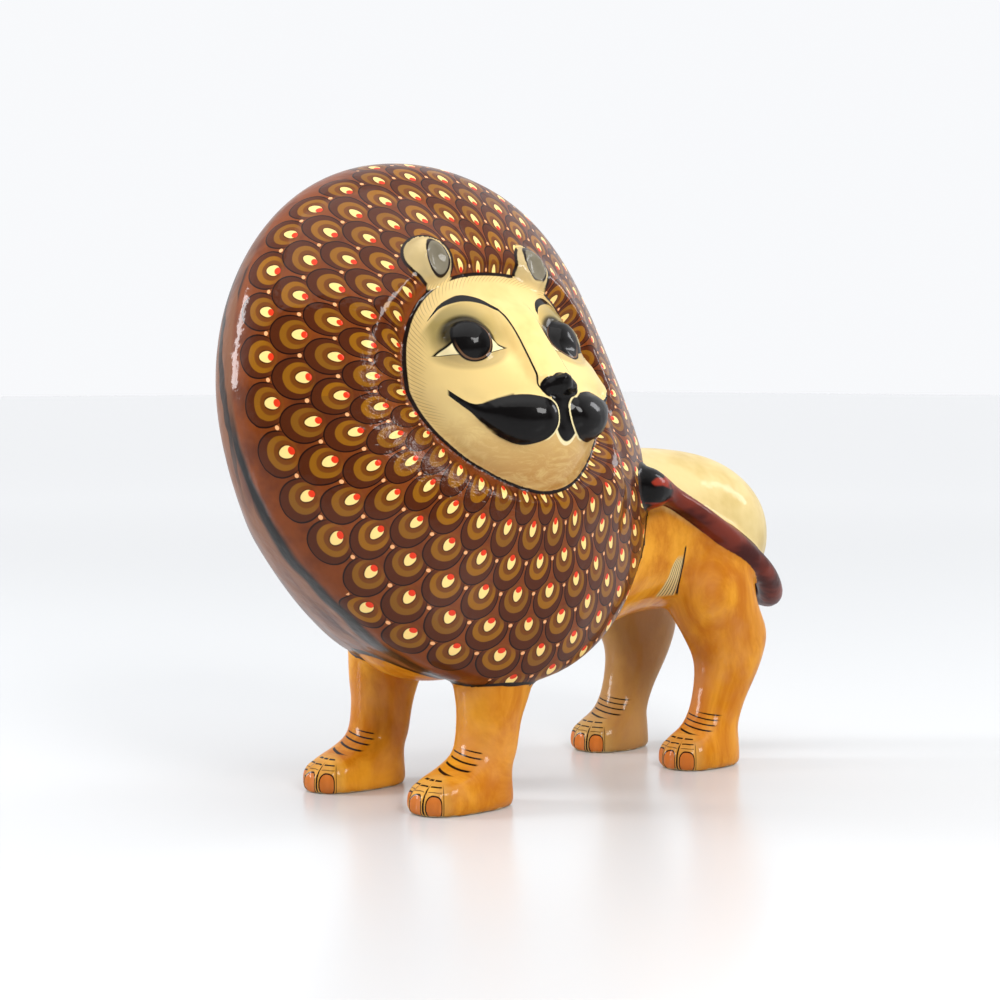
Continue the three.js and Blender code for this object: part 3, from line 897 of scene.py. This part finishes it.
# The ears, with a grey dish ringed in black.
ear_ = face.guide("ear")
on_ear = face.mul(face.over(ear_, 3.2, 1.6), face.over(t_, 0.9, 1.08))
ear_tone = face.mix(face.over(face.noise(18, 3), 0.4, 0.65), paint_colour("#c6b184"), paint_colour("#9c8d69"))
colour = face.mix(face.mul(on_ear, 0.7), colour, ear_tone)
root = face.over(face.math("ABSOLUTE", face.sub(face.math("ABSOLUTE", face.add(s_, 0.005)), 0.5)), 0.1, 0.13)
colour = face.mix(face.mul(face.over(ear_, 1.2, 1.9), face.over(border_, 1.0, 1.02), root), colour, ink)
dish_side = face.math("ABSOLUTE", face.add(s_, 0.005))
dish_up = face.add(t_, face.mul(face.math("SIGN", s_), 0.015))
dish = face.egg(dish_side, dish_up, (0.51, 1.185), (0.115, 0.16))
on_ear_front = face.mul(face.over(face.guide("h"), 1.02, 1.08), face.over(t_, 1.0, 1.03))
colour = face.mix(face.mul(face.over(dish, 1.12, 1.05), on_ear_front), colour, ink)
colour = face.mix(face.mul(face.over(dish, 0.95, 0.88), on_ear_front), colour, paint_colour("#77705f"))
colour = face.mix(face.mul(face.over(border_, 0.984, 0.992), face.over(ear_, 4.0, 6.0)), colour, ink)
face.finish(colour, 0.0, 0.14)

# The body, legs and tail: ochre flanks, a cream back and a dark red tail with a black tuft.
# The toes have orange nails ringed in black, with short strokes for the folds of the foot above them.
body = Paint("body_paint", 0.26)
x_, y_, z_ = body.axes()
brush = body.noise(16, 5, 0.65, (1, 1, 0.5), 0.8)
ochre = body.mix(body.over(brush, 0.35, 0.68), paint_colour("#ba6a08"), paint_colour("#e29c2a"))
ochre = body.mix(body.mul(body.over(body.noise(8, 4, 0.6), 0.5, 0.7), 0.55), ochre, paint_colour("#cc8a52"))
# Painted shade: the far hind leg, under the body, is painted duller and greyer.
far_leg_shade = body.mul(body.over(x_, -0.02, -0.05), body.over(y_, 0.05, 0.12), body.over(z_, 0.2, 0.12))
ochre = body.mix(body.mul(far_leg_shade, 0.75), ochre, paint_colour("#96784e"))
back = body.mix(body.over(body.noise(9, 4, 0.65), 0.4, 0.7), paint_colour("#dcc68c"), paint_colour("#c4a966"))
above_tail = body.sub(z_, body.sub(0.262, body.mul(body.sub(y_, 0.089), 0.49)))
colour = body.mix(body.over(body.add(above_tail, body.mul(body.sub(brush, 0.5), 0.01)), -0.006, 0.006), ochre, back)
# The fold in front of the left hind leg, with its fan of hatching.
below = body.math("DIVIDE", body.sub(0.214, z_), 0.047)
fold_line = body.curve(below, [(0, 0.1335), (0.3, 0.1328), (0.6, 0.1345), (1, 0.1425)])
fan_edge = body.curve(below, [(0, 0.1325), (0.3, 0.1195), (0.6, 0.1165), (1, 0.112)])
on_left = body.over(x_, 0, 0.01)
beside = body.sub(y_, fold_line)
fan_share = body.math("DIVIDE", body.sub(y_, fan_edge), body.sub(fold_line, fan_edge))
in_fan = body.mul(
    body.over(fan_share, 0.0, 0.12),
    body.over(fan_share, 0.97, 0.9),
    body.over(below, 0.12, 0.3),
    body.over(below, 1.04, 0.96),
    on_left,
)
colour = body.mix(body.mul(in_fan, 0.7), colour, paint_colour("#d8cb96"))
hatch = body.over(body.math("SINE", body.mul(fan_share, 38)), 0.35, 0.8)
colour = body.mix(body.mul(in_fan, hatch, 0.85), colour, ink)
fold = body.mul(body.stroke(beside, 0, 0.0011), body.over(below, -0.05, 0.02), body.over(below, 1.03, 0.95), on_left)
colour = body.mix(fold, colour, ink)
# The toes: nails, gaps, knuckles and the folds of the instep.
foot_x, foot_y = body.guide("foot_x"), body.guide("foot_y")
toe_angle = body.math("ARCTAN2", foot_x, body.mul(foot_y, -1))
nail_spacing, nail_squareness = math.radians(36), 3
toe_place = body.math("DIVIDE", toe_angle, nail_spacing)
toe_u = body.sub(body.math("FRACT", body.add(toe_place, 100.5)), 0.5)
toe_here = body.mul(
    body.over(body.math("ABSOLUTE", toe_angle), 0.95, 0.93), body.over(body.math("ABSOLUTE", foot_x), 0.36, 0.34)
)
pale_front = body.mul(body.over(z_, 0.05, 0.02), body.over(body.math("ABSOLUTE", toe_angle), 1.4, 0.9), 0.35)
colour = body.mix(pale_front, colour, paint_colour("#d6b060"))
nail_across = body.math("ABSOLUTE", body.math("DIVIDE", toe_u, 0.37))
nail_up = body.math("ABSOLUTE", body.math("DIVIDE", body.sub(z_, 0.0085), 0.0095))
nail = body.add(body.math("POWER", nail_across, nail_squareness), body.math("POWER", nail_up, nail_squareness))
nail = body.math("POWER", nail, 1 / nail_squareness)
toe_gap = body.mul(body.over(body.math("ABSOLUTE", toe_u), 0.45, 0.47), body.over(z_, 0.028, 0.022), toe_here)
colour = body.mix(toe_gap, colour, ink)
knuckles = body.mul(
    body.over(body.math("SINE", body.mul(z_, 1570)), 0.55, 0.85),
    body.over(z_, 0.0205, 0.0215),
    body.over(z_, 0.033, 0.032),
)
knuckles = body.mul(knuckles, body.over(body.math("ABSOLUTE", toe_u), 0.42, 0.36), toe_here)
colour = body.mix(knuckles, colour, ink)
colour = body.mix(body.mul(body.over(nail, 1.14, 1.08), toe_here), colour, ink)
colour = body.mix(body.mul(body.over(nail, 1.0, 0.94), toe_here), colour, paint_colour("#c46f2e"))
folds = body.over(body.math("SINE", body.add(body.mul(z_, 1350), body.mul(foot_x, 18))), 0.5, 0.85)
folds = body.mul(
    folds,
    body.over(z_, 0.032, 0.033),
    body.over(z_, 0.053, 0.051),
    body.over(body.math("ABSOLUTE", body.sub(foot_x, 0.04)), 0.18, 0.15),
)
folds = body.mul(folds, body.over(foot_y, 0.3, 0.28))
colour = body.mix(folds, colour, ink)
worn = body.mul(body.over(body.add(z_, body.mul(body.noise(120, 2), 0.005)), 0.0045, 0.003), 0.8)
colour = body.mix(worn, colour, paint_colour("#c9b98c"))
# The tail and its tuft.
tail_near = body.over(body.guide("tail"), 2.4, 1.4)
red_brown = body.mix(
    body.over(body.noise(26, 3, 0.6, (1, 0.35, 1)), 0.42, 0.6), paint_colour("#3f110c"), paint_colour("#6f2a1c")
)
tuft = body.over(body.add(y_, body.mul(body.sub(body.noise(30), 0.5), 0.02)), 0.1, 0.09)
tuft_tone = body.mix(body.over(body.noise(55, 2, 0.5, (1, 0.25, 1)), 0.55, 0.62), black, paint_colour("#8a2a18"))
colour = body.mix(tail_near, colour, body.mix(tuft, red_brown, tuft_tone))
colour = body.mix(body.over(body.guide("seam"), -1.6, -0.8), colour, ink)
body.finish(colour, body.mul(brush, 0.15), 0.3)

shell.data.materials.clear()
for paint in (mane, face, body):
    shell.data.materials.append(paint.material)
is_body = (far["body"] < far["head"]) | (far["tail"] < far["head"])
is_ear = (far["ear"] < 2.2) | ((np.abs(np.abs(s + 0.5) - 51) < 13) & (np.abs(t - 118.5) < 19) & (h > 109))
is_root = (np.abs(np.abs(s + 0.5) - 50) < 13) & (t > 90) & (t < 114) & (border < 1.14) & (h > 95)
is_face = ~is_body & (((border < 1.0) & (h > 80)) | is_ear | is_root)
kind = np.where(is_body, 2, np.where(is_face, 1, 0))
for p in shell.data.polygons:
    p.material_index = int(np.bincount(kind[list(p.vertices)]).argmax())
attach(shell, "root")
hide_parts("lion")
